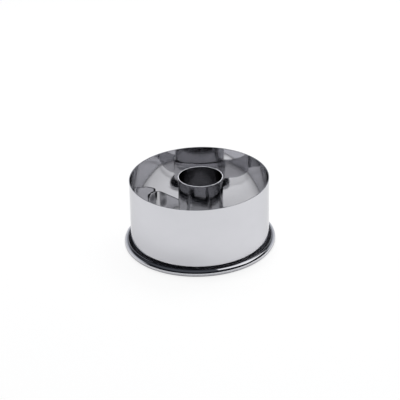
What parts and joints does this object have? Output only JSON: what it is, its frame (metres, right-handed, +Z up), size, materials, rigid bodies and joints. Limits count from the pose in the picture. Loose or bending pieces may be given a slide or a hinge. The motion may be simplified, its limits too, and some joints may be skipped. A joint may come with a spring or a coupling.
{
  "type": "doughnut cutter",
  "caption": "Round doughnut cutter of polished stainless sheet: a tall cutting ring with a rolled rim, and a hole-cutting centre tube held by two bent, spot-welded strips.",
  "frame": {"origin": "on the ring's axis, in the plane that the rolled rims stand on", "axes": "+Z up along the ring's axis towards the cutting edges; the pictured view looks along +Y, with +X to the right"},
  "size_m": [0.097, 0.097, 0.0454],
  "materials": {
    "ring_steel": "mirror-polished stainless steel",
    "tube_steel": "mirror-polished stainless steel",
    "bracket_steel": "bright mill-finished stainless strip"
  },
  "bodies": {
    "root": {"cutting_ring": "ring_steel", "centre_tube": "tube_steel", "bracket_back": "bracket_steel", "bracket_front": "bracket_steel"}
  },
  "joints": []
}
